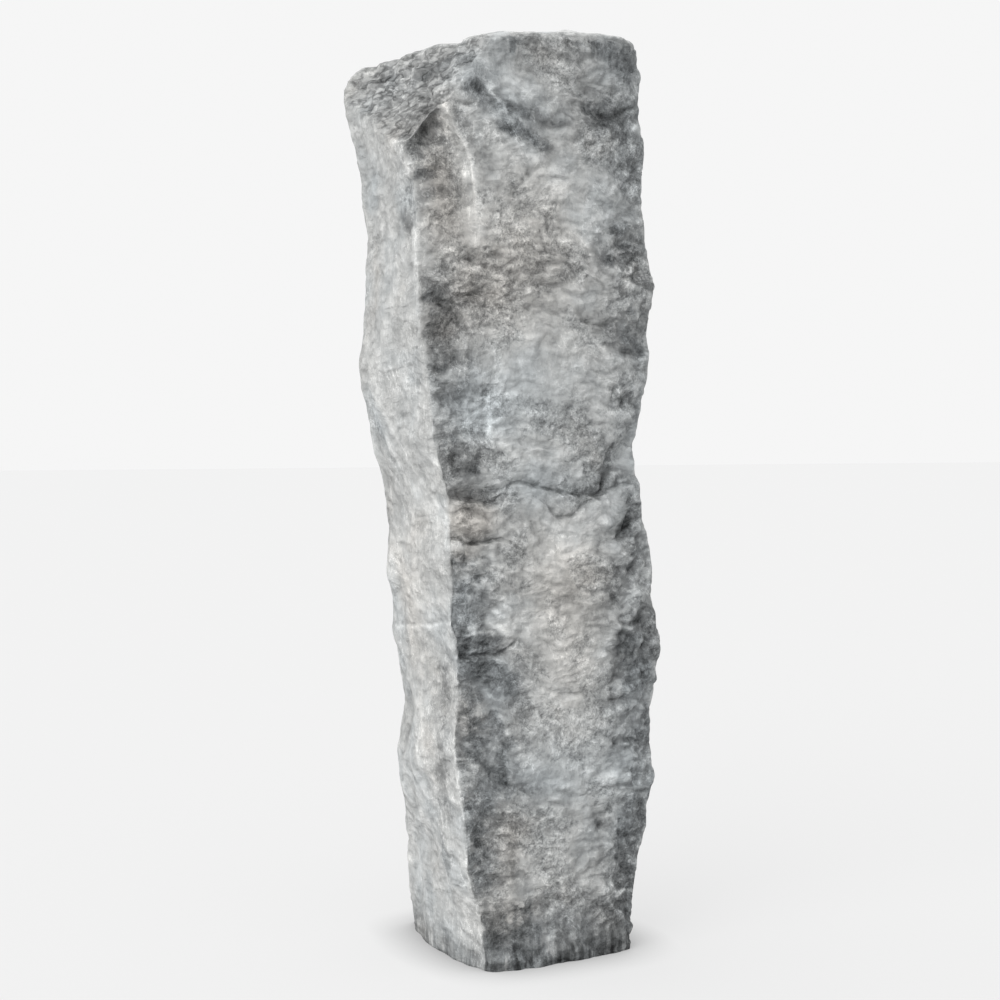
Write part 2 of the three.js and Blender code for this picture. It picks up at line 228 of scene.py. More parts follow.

# Pale veins, worn ridges and scratches, and a painted highlight along the scar ridge: strength, half width,
# line.
VEINS = {
    "front": [
        # painted highlight along the scar ridge, whose face turns towards the light: this row and the next
        (0.95, 12, SCAR_RIDGE),
        (0.45, 20, [(-40, 1795), (-30, 1750), (-22, 1700)]),
        (0.9, 7, [(0, 2042), (28, 2012), (50, 1990)]),
        (0.6, 6, [(-110, 1222), (-50, 1226), (-40, 1243), (0, 1237), (30, 1232), (55, 1215), (75, 1195)]),
        (0.6, 5, [(-70, 1240), (-50, 1257), (-46, 1285), (-52, 1320), (-46, 1340)]),
        (0.6, 5, [(4, 1240), (12, 1280), (10, 1310), (5, 1335)]),
        (0.5, 4, [(-50, 1215), (-30, 1212), (-18, 1222)]),
        (0.7, 9, [(-50, 930), (-55, 905), (-45, 875), (-40, 840), (-37, 810)]),
        (0.5, 4, [(0, 884), (30, 888), (60, 885)]),
        (0.5, 4, [(18, 858), (30, 868), (45, 877)]),
        (0.3, 5, [(-150, 1918), (-130, 1925), (-118, 1918), (-104, 1944)]),
        (0.35, 6, [(-176, 1890), (-172, 1800), (-172, 1700), (-174, 1600), (-172, 1500)]),
        (0.6, 9, [(-12, 1674), (20, 1672), (60, 1676)]),
        (0.9, 6, [(-36, 808), (-29, 790), (-30, 775), (-34, 744)]),
        (0.6, 6, [(10, 850), (30, 835), (28, 810), (45, 795)]),
        (0.6, 6, [(30, 835), (52, 826), (68, 802)]),
        (0.5, 6, [(0, 820), (22, 812), (48, 815)]),
        (0.6, 6, [(30, 858), (52, 850), (62, 836)]),
        (0.5, 6, [(-58, 885), (-60, 850), (-66, 820)]),
        (0.6, 6, [(68, 822), (100, 818), (150, 820), (205, 817)]),
        (0.5, 6, [(75, 836), (120, 834), (170, 838)]),
        (0.5, 6, [(85, 802), (130, 800), (190, 806)]),
        (0.5, 6, [(0, 672), (16, 640), (24, 610), (50, 560), (78, 520)]),
        (0.5, 5, [(120, 600), (140, 565), (166, 550), (172, 535)]),
        (0.5, 6, [(-44, 500), (-34, 476), (-16, 455)]),
        (1.1, 5, [(334, 182), (342, 162), (352, 146), (372, 140), (400, 148)]),
        (1.1, 6, [(328, 132), (344, 108), (362, 88)]),
        (0.5, 4, [(150, 63), (175, 62), (192, 52)]),
        (0.3, 7, [(-100, 1103), (-70, 1098), (-30, 1092), (0, 1080), (24, 1086), (36, 1104), (50, 1112)]),
        (0.15, 8, [(-96, 998), (-60, 993), (-20, 990)]),
        (0.4, 7, [(10, 985), (14, 960), (8, 935)]),
        (0.5, 5, [(196, 1489), (228, 1492), (262, 1484), (286, 1466), (304, 1448)]),
        (0.4, 5, [(74, 1425), (84, 1405), (92, 1380)]),
        (0.6, 6, [(355, 1358), (385, 1362), (425, 1366)]),
        (0.5, 6, [(310, 1298), (350, 1300), (410, 1302)]),
        (0.5, 5, [(310, 1652), (340, 1635), (372, 1618), (398, 1612)]),
        (0.4, 5, [(345, 1730), (375, 1712), (410, 1700)]),
        (0.5, 7, [(310, 345), (345, 325), (385, 312)]),
        (0.5, 6, [(350, 668), (360, 640), (358, 610)]),
        (0.6, 6, [(-48, 385), (-44, 300), (-45, 235)]),
    ],
    "left": [
        (0.4, 24, [(340, 1330), (300, 1270), (250, 1200), (180, 1130), (100, 1080), (40, 1040)]),
        (0.3, 12, [(30, 1900), (25, 1750), (20, 1600), (20, 1500)]),
        (0.55, 6, [(6, 640), (4, 540), (6, 380), (4, 240)]),
        (0.4, 7, [(310, 1310), (270, 1240), (215, 1175), (170, 1120)]),
        (0.4, 6, [(240, 1300), (180, 1210), (110, 1130), (50, 1080)]),
        (0.5, 5, [(377, 770), (280, 783), (184, 795), (90, 805), (4, 819)]),
    ],
    "corner": [
        (0.6, 7, CORNER_CREST),
    ],
    "right": [
        (0.5, 6, [(100, 722), (180, 690), (270, 702)]),
        (0.5, 6, [(120, 1430), (190, 1400), (280, 1340)]),
    ],
    "back": [
        (0.5, 6, [(120, 1322), (180, 1334), (260, 1384), (340, 1420)]),
        (0.5, 6, [(-60, 680), (20, 640), (80, 560)]),
    ],
}

# Crests that stand out: height, half width, line.
CRESTS = {
    "front": [
        (5, 10, SCAR_RIDGE[:7]),
    ],
    "corner": [
        (6, 8, CORNER_CREST),
    ],
}

# Broad shades along a line, paler or, with a minus, darker: strength, half width, line. Most are the rock's
# own tone; some, marked below, are painted shadow.
SHADES = {
    "front": [
        (-0.45, 45, [(-115, 1600), (-105, 1300), (-80, 1170)]),
        (-0.35, 60, [(-115, 1940), (-120, 1780), (-120, 1600)]),
        (-0.45, 45, [(-50, 1520), (-40, 1340)]),
        (-0.85, 50, [(-70, 930), (-50, 750), (-40, 500), (-20, 250)]),
        (-0.45, 70, [(60, 700), (70, 450), (100, 120)]),
        (-0.3, 35, [(100, 0), (400, 0)]),
        (-0.7, 50, [(-30, 380), (-10, 80)]),
        (-0.6, 50, [(420, 2150), (420, 1800), (440, 1500), (420, 1300)]),
        (-0.5, 60, [(420, 1050), (460, 700)]),
        (-0.9, 60, [(460, 700), (430, 100)]),
        (-0.6, 40, [(375, 730), (370, 600)]),
        (-0.6, 45, [(375, 270), (365, 80)]),
        (-0.55, 25, [(50, 2165), (180, 2175), (330, 2170)]),
        (0.45, 40, [(-10, 1760), (60, 1720), (120, 1740)]),
        # painted shadow under the overhang of the broken corner
        (-1.5, 16, [(-182, 1894), (-150, 1925), (-122, 1972)]),
        (-1.4, 16, [(40, 1958), (100, 1940), (155, 1914)]),
        (-0.6, 8, [(60, 1905), (90, 1880), (105, 1850)]),
        (-0.8, 8, [(-100, 982), (-90, 957), (-60, 952), (-30, 964)]),
        (-0.8, 12, [(-98, 870), (-100, 810), (-88, 750)]),
        (0.3, 60, [(60, 1900), (160, 1850)]),
        # painted shade along the main crack, where the rock turns in to it: this row and the next
        (-0.8, 13, [(240, 1108), (300, 1116), (325, 1148), (348, 1178), (345, 1225)]),
        (-0.5, 10, [(120, 1140), (180, 1124), (240, 1114)]),
    ],
    "left": [
        (-0.5, 45, [(60, 1970), (50, 1760)]),
        (-0.6, 40, [(70, 720), (80, 450), (120, 250)]),
    ],
    "corner": [
        # painted shadow under the overhang of the broken corner
        (-1.2, 12, [(-182, 1902), (-150, 1938), (-122, 1985)]),
        (-1, 8, [(-175, 2102), (-150, 2100), (-125, 2108)]),
        (-0.7, 10, [(-110, 2090), (-80, 2110), (-50, 2125)]),
    ],
}

# The rest are soft ovals: amount, middle across, middle height, reach across, reach up.

# Hollows and, with a minus, swellings: the amount is the depth.
HOLLOWS = {
    "front": [
        (8, -10, 765, 70, 28), (8, -20, 1118, 50, 16), (-6, -20, 1145, 50, 14), (-7, -40, 1055, 55, 40),
        (10, 385, 1328, 60, 22), (9, 335, 1185, 35, 35), (-7, 200, 1165, 110, 40), (13, -135, 1945, 34, 30),
        (7, 360, 2030, 60, 40), (7, 350, 1700, 40, 45), (6, -20, 1585, 80, 18), (-5, 70, 1630, 60, 22),
        (-5, 85, 1575, 50, 16), (6, 10, 680, 40, 30), (6, 330, 630, 30, 30), (-6, 60, 280, 30, 110),
        (7, -10, 290, 35, 70), (6, 380, 290, 40, 50), (6, 390, 165, 30, 22), (5, -60, 2095, 35, 25),
        (-14, 140, 0, 200, 60),
    ],
}

# Tone of the rock, paler or, with a minus, darker. Some darker ovals, marked below, are painted shade in
# hollows and under overhangs.
PATCHES = {
    "front": [
        # the top
        (-0.5, 95, 2155, 35, 22), (-0.6, 370, 2110, 35, 35), (-0.6, -60, 2095, 30, 22),
        (-0.3, 0, 2060, 30, 60), (-0.9, -40, 2040, 20, 14), (-0.9, 350, 2035, 50, 32),
        (-0.7, -30, 2030, 40, 30), (-0.7, 290, 2020, 40, 28), (-0.8, 265, 2020, 14, 14),
        (-0.5, 80, 1995, 70, 18), (-1, 300, 1985, 30, 18), (-0.9, 365, 1985, 35, 30),
        # painted shadow in the recess under the broken corner: the oval at (-118, 1975) and, on the next
        # line, (-105, 1955) and (-145, 1940)
        (-0.5, 175, 1975, 50, 14), (-0.8, -118, 1975, 28, 34), (-0.7, 0, 1975, 50, 45),
        (-0.7, -105, 1955, 20, 20), (-0.8, 70, 1950, 50, 45), (-0.8, -145, 1940, 36, 24),
        (-0.5, -50, 1930, 30, 40), (-0.3, 360, 1930, 60, 60), (-0.7, 40, 1920, 10, 10),
        # above the waist
        (-0.5, 0, 1885, 20, 20), (-0.7, -155, 1870, 25, 30), (-0.7, -140, 1835, 30, 14),
        (-0.3, -110, 1830, 40, 40), (-0.5, -120, 1797, 30, 12), (-0.5, -130, 1760, 30, 12),
        (0.5, 60, 1760, 50, 35), (-0.8, 368, 1742, 24, 20), (0.3, 60, 1740, 50, 50),
        (-0.9, 355, 1737, 24, 16), (-1, 375, 1700, 30, 18), (-0.5, 370, 1690, 70, 60),
        (-0.3, 170, 1665, 50, 20), (-0.9, 328, 1664, 26, 18), (-0.3, -80, 1640, 40, 20),
        (-0.2, -40, 1580, 60, 14), (-0.6, -130, 1567, 28, 14), (-0.5, 385, 1520, 50, 50),
        (-0.5, -110, 1520, 40, 40),
        # the waist
        (-0.6, -90, 1490, 30, 20), (0.3, 100, 1480, 100, 90), (-0.7, 385, 1462, 26, 22),
        (-0.9, -125, 1460, 20, 50), (-0.6, -78, 1430, 22, 16), (-0.5, 348, 1425, 16, 28),
        (0.4, 385, 1425, 22, 20), (-0.5, -60, 1420, 30, 50), (-0.6, -118, 1392, 28, 16),
        (0.3, 150, 1360, 70, 40), (-0.5, -15, 1345, 28, 14), (-0.5, -100, 1340, 35, 30),
        (-0.9, 380, 1328, 60, 20), (-0.5, -20, 1315, 18, 18), (-1.1, -12, 1265, 12, 30),
        (-0.5, 150, 1235, 16, 28), (-0.8, -90, 1235, 40, 35), (-1.2, -115, 1220, 18, 28),
        (-0.5, 342, 1200, 18, 40), (0.4, 150, 1200, 90, 50), (-0.5, -20, 1190, 20, 30),
        (-0.7, -80, 1185, 45, 30), (-0.9, -20, 1180, 12, 18),
        # the middle
        # painted shadow in the hollow above the brown block: the oval at (-35, 1120)
        (-0.5, 375, 1140, 35, 20), (-0.7, 300, 1125, 28, 20), (-0.9, -35, 1120, 42, 18),
        (-0.5, 10, 1108, 22, 14), (-0.6, -40, 1080, 55, 16), (-0.4, -40, 1050, 60, 45),
        # painted shade on the brown block's underside, which curves in: the oval at (-5, 1016) and, on the
        # next line, (-40, 1012)
        (0.4, 330, 1050, 40, 14), (-0.4, 395, 1030, 22, 22), (-0.5, -5, 1016, 32, 14),
        (-0.5, -40, 1012, 35, 10), (-0.5, -85, 985, 20, 14), (-0.7, 28, 973, 14, 14),
        (-0.6, -60, 962, 30, 12), (0.3, 180, 950, 90, 60), (-0.4, 390, 945, 50, 22),
        (-0.5, 16, 935, 14, 22), (-0.5, -30, 930, 22, 18), (-0.4, 30, 900, 60, 20), (-0.5, 0, 850, 60, 25),
        (-0.5, 320, 850, 30, 40), (0.3, 30, 836, 20, 16), (0.3, 34, 814, 30, 14), (-0.7, 425, 805, 30, 12),
        # below the middle
        # painted shade in the downward-facing hollow above the dark block's foot: the ovals at (-45, 795),
        # (45, 778) and (-10, 775), and on the next line (10, 757)
        (-0.6, -45, 795, 40, 30), (0.5, 55, 795, 22, 12), (-0.6, 45, 778, 24, 14), (-0.8, -10, 775, 22, 16),
        (-0.5, 400, 760, 50, 22), (-0.6, 10, 757, 60, 14), (0.3, 180, 730, 80, 40),
        (-0.6, -30, 715, 50, 14), (-0.5, 395, 705, 30, 20), (-0.6, -45, 700, 40, 28),
        (-0.5, -20, 700, 60, 20), (-0.6, 20, 680, 26, 22), (-0.6, 70, 660, 26, 26),
        (-0.7, 330, 625, 22, 26), (-0.4, -45, 620, 35, 50), (-0.6, 420, 620, 45, 30),
        (-0.5, 25, 585, 22, 22), (0.4, 200, 560, 90, 110), (-0.5, -35, 520, 22, 22),
        (-0.5, 40, 520, 26, 30), (-0.6, 390, 515, 45, 18), (-0.5, 70, 470, 28, 26), (-0.5, 30, 440, 30, 28),
        (-0.3, 150, 415, 50, 14),
        # the foot
        (-0.5, -20, 385, 35, 22), (-0.6, -20, 338, 26, 12), (-0.8, 385, 330, 30, 16),
        (-0.7, 300, 320, 16, 22), (-0.5, 0, 285, 26, 22), (-0.8, 385, 275, 34, 28),
        (-0.4, 330, 250, 60, 50), (0.3, 180, 250, 70, 50), (-0.6, -15, 245, 28, 18),
        (-0.4, 10, 205, 26, 22), (0.3, 120, 180, 80, 20), (-1, 385, 178, 34, 20), (-0.4, 40, 125, 50, 22),
        (-0.5, 290, 120, 40, 20), (-0.7, 385, 115, 40, 30), (-0.4, 180, 80, 60, 24), (-0.6, 30, 70, 40, 22),
        (-0.5, 330, 30, 120, 38), (-0.3, 160, 22, 100, 26),
    ],
    "left": [
        (-0.4, 330, 1260, 40, 60), (-0.4, 240, 1165, 60, 30), (-0.3, 60, 1720, 50, 30),
        (-0.3, 50, 1470, 50, 30), (-0.3, 280, 1880, 40, 50), (-0.3, 360, 620, 30, 40),
        (-0.5, 300, 20, 120, 22), (-0.3, 120, 200, 16, 50), (0.3, 250, 1000, 60, 60),
        (0.3, 60, 170, 50, 40),
    ],
    "corner": [
        (-0.9, -45, 2110, 28, 25), (-0.5, -115, 2150, 30, 25),
    ],
    "right": [
        (-0.6, 280, 1880, 60, 110), (-0.5, 330, 1330, 50, 140), (0.4, 200, 1520, 70, 120),
        (-0.6, 250, 830, 60, 90), (0.4, 180, 520, 70, 110), (-0.6, 320, 280, 60, 120),
    ],
    "back": [
        (-0.6, 250, 1850, 70, 110), (0.4, 80, 1640, 90, 120), (-0.5, -80, 1380, 60, 130),
        (-0.6, 220, 1080, 80, 90), (0.4, 60, 800, 80, 120), (-0.6, 0, 420, 60, 130),
        (-0.5, 300, 560, 60, 110),
    ],
}

# Warmth of the rock's colour, browner or, with a minus, bluer.
WARMTHS = {
    "front": [
        (-0.7, 400, 1950, 120, 250), (-0.6, 420, 1200, 100, 300), (-0.8, 420, 450, 100, 400),
        (-0.3, 30, 2020, 100, 90), (0.6, 120, 1700, 140, 140), (0.5, 0, 1540, 120, 60),
        (-0.8, 30, 1330, 180, 90), (-0.8, 150, 1130, 160, 50), (0.8, 200, 900, 100, 120),
        (-0.8, -50, 850, 60, 80), (-1, 30, 660, 60, 60), (-0.7, 150, 450, 200, 80),
        (0.6, -100, 1780, 50, 100), (0.8, -110, 1850, 40, 70), (0.6, -90, 1730, 50, 60),
        (2.2, -45, 1055, 55, 45), (0.8, -55, 980, 40, 20), (0.8, -30, 610, 45, 50), (0.7, 55, 290, 40, 110),
        (0.6, 60, 120, 80, 50), (0.5, 20, 1640, 120, 60), (0.7, -115, 1990, 30, 30),
        (0.5, -110, 1500, 50, 60), (0.4, 220, 700, 80, 120), (-0.8, -20, 1290, 60, 50),
        (-0.5, -40, 700, 60, 40), (-0.5, 180, 90, 80, 40),
    ],
    "left": [
        (0.8, 250, 880, 100, 120),
    ],
}

# Where water has run down and left streaks; the oval marked below is painted shadow in the recess under the
# broken corner.
STREAKS_AND_SHADE = {
    "front": [
        (0.8, 70, 2150, 70, 35), (0.5, 220, 2150, 90, 30), (0.8, 350, 2150, 60, 40),
        # painted shadow: the oval at (-128, 1952) lies in the recess under the broken corner
        (0.3, -120, 1840, 40, 80), (0.9, -128, 1952, 36, 24),
    ],
}

# Where the rock is lumpier than it is elsewhere or, with a minus, smoother.
LUMPY = {
    "front": [
        (0.6, 400, 800, 80, 300), (0.6, 400, 250, 80, 250), (0.5, 400, 1550, 80, 400),
        (0.5, 300, 2050, 100, 80), (0.4, -50, 800, 80, 400), (0.4, 100, 1620, 160, 50),
        (-0.3, 130, 1430, 110, 90), (-0.3, 200, 580, 80, 130), (-0.5, -90, 1940, 20, 50),
        (-0.5, -45, 1840, 16, 50), (-0.5, -30, 1750, 30, 50),
    ],
    "left": [
        (-0.2, 200, 1000, 300, 1200),
    ],
    "corner": [
        (0.5, -150, 2060, 200, 100),
    ],
}


def rows_of(table):
    """The rows of a table of marks, each with its side put first."""
    return [(side, *row) for side, rows in table.items() for row in rows]


# ---- Mesh helpers ----

def only(obj):
    """Deselects everything, then selects obj and makes it active."""
    bpy.ops.object.select_all(action="DESELECT")
    obj.select_set(True)
    bpy.context.view_layer.objects.active = obj


def apply_modifier(piece, kind, **settings):
    only(piece)
    modifier = piece.modifiers.new(kind.lower(), kind)
    for key, value in settings.items():
        setattr(modifier, key, value)
    bpy.ops.object.modifier_apply(modifier=modifier.name)


def values_of(items, name, width=1, kind=float):
    """One value, or a row of width values, of each of a mesh's items."""
    found = np.empty(len(items) * width, dtype=kind)
    items.foreach_get(name, found)
    return found if width == 1 else found.reshape(-1, width)


def places(mesh):
    return values_of(mesh.vertices, "co", 3)


def directions(mesh):
    return values_of(mesh.vertex_normals, "vector", 3)


def evened(mesh, values, rounds):
    """values averaged with each vertex's neighbours, some rounds over."""
    ends = values_of(mesh.edges, "vertices", 2, int)
    a, b = ends.T
    count = np.bincount(ends.ravel(), minlength=len(values)) + 1.0
    for _ in range(rounds):
        total = values.copy()
        np.add.at(total, a, values[b])
        np.add.at(total, b, values[a])
        values = (total.T / count).T
    return values


def push(piece, offsets):
    """Moves the vertices by offsets, up to DEEPEST along each axis."""
    for axis, along in zip("XYZ", offsets.T):
        group = piece.vertex_groups.new(name="push")
        steps = np.rint((along / DEEPEST).clip(-1, 1) * WEIGHT_STEPS).astype(int) + WEIGHT_STEPS
        for step in np.unique(steps[steps > 0]):
            chosen = np.flatnonzero(steps == step).tolist()
            group.add(chosen, step / (2 * WEIGHT_STEPS), "REPLACE")
        apply_modifier(piece, "DISPLACE", vertex_group="push", direction=axis, strength=2 * DEEPEST,
                       mid_level=0.0)
        piece.vertex_groups.clear()
    only(piece)
    bpy.ops.object.mode_set(mode="EDIT")
    bpy.ops.mesh.select_all(action="SELECT")
    bpy.ops.transform.translate(value=(-DEEPEST, -DEEPEST, -DEEPEST))
    bpy.ops.object.mode_set(mode="OBJECT")


# ---- Noise on the skin ----

def cloudy(points, wave, octaves, shift=0.0):
    """Cloudy noise, about -1 to 1."""
    return np.array([noise.fractal(p, 1.0, 2.0, octaves) for p in (points / wave + shift).tolist()])


def lumpy(points, wave, octaves, shift=0.0):
    """Rounded lumps at about 1 with sharp creases at 0 between them."""
    scaled = (points / wave + shift).tolist()
    found = np.array([noise.turbulence(p, octaves, True) for p in scaled])
    return (found / np.percentile(found, 90)).clip(0, 1.2)


def chipped(points, wave):
    """Flat chips, each tilted its own way, about 0 to 1."""
    found = np.empty(len(points))
    for i, p in enumerate((points / wave).tolist()):
        middle = noise.voronoi(p)[1][0]
        tilt = noise.noise_vector(middle * 7.3)
        found[i] = (p[0] - middle[0]) * tilt[0] + (p[1] - middle[1]) * tilt[1] + (p[2] - middle[2]) * tilt[2]
    low, high = np.percentile(found, (3, 97))
    return ((found - low) / (high - low)).clip(0, 1)


class Skin:
    """The places and directions of a mesh's vertices, measured from the near bottom corner."""

    def __init__(self, mesh, corner):
        self.points = places(mesh) - corner
        self.out = evened(mesh, directions(mesh), 12)
        self.around = np.zeros(len(self.points))
        scaled = (self.points / WANDER_WAVE).tolist()
        self.wandered = self.points + WANDER * np.array([noise.noise_vector(p) for p in scaled])

    def run_front_around(self):
        """From here on, the front also takes in the near part of the right side, so its colours run on."""
        across, behind = self.points[:, :2].T
        near = ((across - 0.30) / 0.05).clip(0, 1) * np.exp(-((behind - 0.03).clip(0) / 0.08) ** 2)
        self.around = near * (1 - 2 * abs(self.out[:, 2])).clip(0, 1)

    def flat(self, side):
        """Places on a side, in millimetres as the marks are."""
        return self.wandered[:, [ACROSS[side], 2]] / MM

    def facing(self, side):
        """1 where the rock faces a side's way, falling to 0 where it turns away from it."""
        steep, start = (6, -4.75) if side == "corner" else (2.2, -0.6)
        found = (self.out @ np.array(OUTWARD[side]) * steep + start).clip(0, 1)
        return np.maximum(found, self.around) if side == "front" else found

    def near_line(self, side, line):
        """Distance to a line of straight stretches, and whether each place is above it."""
        flat = self.flat(side)
        best = np.full(len(flat), np.inf)
        above = np.zeros(len(flat), dtype=bool)
        for a, b in zip(line[:-1], line[1:]):
            run = np.subtract(b, a)
            apart = flat - np.array(a)
            share = (apart @ run / (run @ run)).clip(0, 1)
            gap = np.linalg.norm(apart - share[:, None] * run, axis=1)
            nearer = gap < best
            best = np.where(nearer, gap, best)
            above = np.where(nearer, run[0] * apart[:, 1] > run[1] * apart[:, 0], above)
        return best, above

    def ends_of(self, side, line, length):
        """0 at both ends of a line, rising to 1 over a length."""
        gaps = [np.linalg.norm(self.flat(side) - np.array(end), axis=1) for end in (line[0], line[-1])]
        return (np.minimum(*gaps) / length).clip(0, 1)

    def groove(self, side, half, line):
        """1 along a line, falling to 0 at about twice its half width."""
        return np.exp(-(self.near_line(side, line)[0] / half) ** 2) * self.facing(side)

    def fold(self, side, half, line):
        """1 along a line, falling away steeply at first and then softly, and fading at the line's ends."""
        gap = self.near_line(side, line)[0]
        return np.exp(-gap / half) * (0.25 + 0.75 * self.ends_of(side, line, 2 * half)) * self.facing(side)

    def ledge(self, side, reach, line):
        """1 along a line, falling away softly above it and at once below it."""
        gap, above = self.near_line(side, line)
        found = np.where(above, np.exp(-gap / reach), np.exp(-(gap / LEDGE_EDGE) ** 2))
        return found * (0.2 + 0.8 * self.ends_of(side, line, LEDGE_END)) * self.facing(side)

    def ovals(self, table):
        """The sum of a table's soft ovals."""
        total = np.zeros(len(self.points))
        for side, amount, across, height, wide, high in rows_of(table):
            apart = (self.flat(side) - (across, height)) / (wide, high)
            total += amount * np.exp(-(apart ** 2).sum(axis=1)) * self.facing(side)
        return total


# ---- The stone ----

def copy_of_solid():
    """A merged copy of the solid, with its foot run on below the ground."""
    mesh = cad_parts["stone"].data.copy()
    piece = bpy.data.objects.new("standing_stone", mesh)
    bpy.context.scene.collection.objects.link(piece)
    only(piece)
    bpy.ops.object.mode_set(mode="EDIT")
    bpy.ops.mesh.select_all(action="SELECT")
    bpy.ops.mesh.remove_doubles(threshold=1e-5)
    bpy.ops.mesh.select_all(action="DESELECT")
    bpy.ops.object.mode_set(mode="OBJECT")
    for vertex in mesh.vertices:
        vertex.select = vertex.co.z < 1e-4
    bpy.ops.object.mode_set(mode="EDIT")
    bpy.ops.transform.translate(value=(0, 0, -ROOT_DEPTH))
    bpy.ops.object.mode_set(mode="OBJECT")
    return piece


def near_corner(mesh):
    """The near bottom corner of the solid, where places are measured from."""
    points = places(mesh)
    foot = points[points[:, 2] < 1e-4]
    return foot[np.argmin(foot[:, 0] * 0.6 + foot[:, 1])]


def halve_faces(piece, chosen):
    """Halves the faces that have a chosen vertex."""
    mesh = piece.data
    only(piece)
    bpy.ops.object.mode_set(mode="EDIT")
    bpy.ops.mesh.select_mode(type="FACE")
    bpy.ops.mesh.select_all(action="DESELECT")
    bpy.ops.object.mode_set(mode="OBJECT")
    corners = values_of(mesh.loops, "vertex_index", kind=int)
    starts = values_of(mesh.polygons, "loop_start", kind=int)
    mesh.polygons.foreach_set("select", np.logical_or.reduceat(chosen[corners], starts))
    bpy.ops.object.mode_set(mode="EDIT")
    bpy.ops.mesh.subdivide(number_cuts=1)
    bpy.ops.mesh.select_mode(type="VERT")
    bpy.ops.object.mode_set(mode="OBJECT")


def refine(piece, corner):
    """Gives the skin smaller faces on the front, and smaller still along the cracks and ledges."""
    skin = Skin(piece.data, corner)
    front = (skin.facing("front") > 0.35) | (skin.facing("corner") > 0.3)
    halve_faces(piece, front & (skin.points[:, 2] > -0.005))
    skin = Skin(piece.data, corner)
    close = np.zeros(len(skin.points), dtype=bool)
    for side, *_, line in rows_of(LEDGES) + rows_of(CRACKS):
        close |= (skin.near_line(side, line)[0] < FINE_BAND) & (skin.facing(side) > 0.1)
    halve_faces(piece, close)
    apply_modifier(piece, "SMOOTH", factor=0.5, iterations=2)


def lump_relief(skin, strong):
    """How deep the creases between the lumps and chips go, and how high the lumps stand, 0 to 1."""
    right = skin.facing("right") * ((skin.points[:, 1] - 0.10) / 0.05).clip(0, 1)
    inner = 0.35 + 0.65 * np.maximum.reduce([skin.facing("front"), skin.facing("back"), right])
    bent = skin.wandered + BEND * cloudy(skin.points, BEND_WAVE, 2, 3.0)[:, None]
    broad = lumpy(bent, BROAD_WAVE, 3)
    middling = lumpy(bent * (1.0, 1.0, 1.7), MIDDLING_WAVE, 3, 9.0)
    small = lumpy(bent * (1.0, 1.0, 1.5), SMALL_WAVE, 2, 5.0)
    chips = chipped(bent * (1.0, 1.0, 1.2), CHIP_WAVE)
    corner_lumps = lumpy(bent * (1.0, 1.0, 1.4), CORNER_WAVE, 2, 4.0)
    arris_lumps = lumpy(bent * (1.0, 1.0, 0.8), ARRIS_WAVE, 3, 7.0)
    arris = (skin.out @ np.array(ARRIS_OUT) * 4 - 2.9).clip(0, 1)
    depth = BROAD_DEPTH * (1 - broad) * (0.4 + 0.6 * strong)
    depth += MIDDLING_DEPTH * (1 - middling) * strong * inner
    depth += SMALL_DEPTH * (1 - small) * strong * inner
    depth += CHIP_DEPTH * chips * (0.3 + 0.7 * strong)
    depth += CORNER_DEPTH * (1 - corner_lumps) * skin.facing("corner")
    depth += ARRIS_DEPTH * (1 - arris_lumps) * arris
    return depth, 0.3 * broad + 0.5 * middling + 0.2 * small


def drawn_relief(skin):
    """How deep the drawn marks go, and how much painted shade each ledge, fold and crack gets, 0 to 1."""
    depth = skin.ovals(HOLLOWS)
    folds, crevice = np.zeros((2, len(depth)))
    # The rock that sinks down to a ledge, and the hollow of each fold, get painted shade, darker the deeper
    # they go.
    for side, deep, reach, line in rows_of(LEDGES):
        ledge = skin.ledge(side, reach, line)
        depth += deep * ledge
        folds = np.maximum(folds, 0.5 * ledge * deep / DEEP_LEDGE)
    for side, deep, half, line in rows_of(FOLDS):
        fold = skin.fold(side, half, line)
        depth += deep * fold
        folds = np.maximum(folds, fold * deep / DEEP_FOLD)
    for side, high, half, line in rows_of(CRESTS):
        depth -= high * skin.fold(side, half, line)
    # Each crack gets painted shade inside it, as dark as its darkness.
    for side, deep, half, dark, line in rows_of(CRACKS):
        groove = skin.groove(side, half, line)
        depth += deep * groove
        crevice = np.maximum(crevice, groove * dark)
    return depth * MM, folds, crevice


def veins_of(skin):
    vein = np.zeros(len(skin.points))
    for side, strength, half, line in rows_of(VEINS):
        vein = np.maximum(vein, strength * skin.groove(side, half, line))
    return vein


def tone_of(skin):
    """Paler and darker places of the rock, some of them painted shadow. What faces up gets a painted
    highlight, as the light from above would give it, but not the broken corner.
    """
    # painted highlight: what faces up is made paler, except on the broken corner
    tone = skin.ovals(PATCHES) + 0.4 * (skin.out[:, 2] * 2 - 0.4).clip(0, 1) * (1 - skin.facing("corner"))
    for side, strength, half, line in rows_of(SHADES):
        tone += strength * skin.groove(side, half, line)
    return tone / (1 + 0.35 * abs(tone))


def dark_streaks_and_shade_of(skin):
    """Where the rock is darker: towards the foot, most of all on the front, where water has run down, and as
    painted shadow in the recess under the broken corner.
    """
    height = skin.wandered[:, 2]
    damp = (1 - height / DARK_FOOT_TOP).clip(0, 1) * (0.35 + 0.65 * skin.facing("front"))
    return damp + 0.5 * (1 - height / DARKEST_FOOT_TOP).clip(0, 1) + skin.ovals(STREAKS_AND_SHADE)


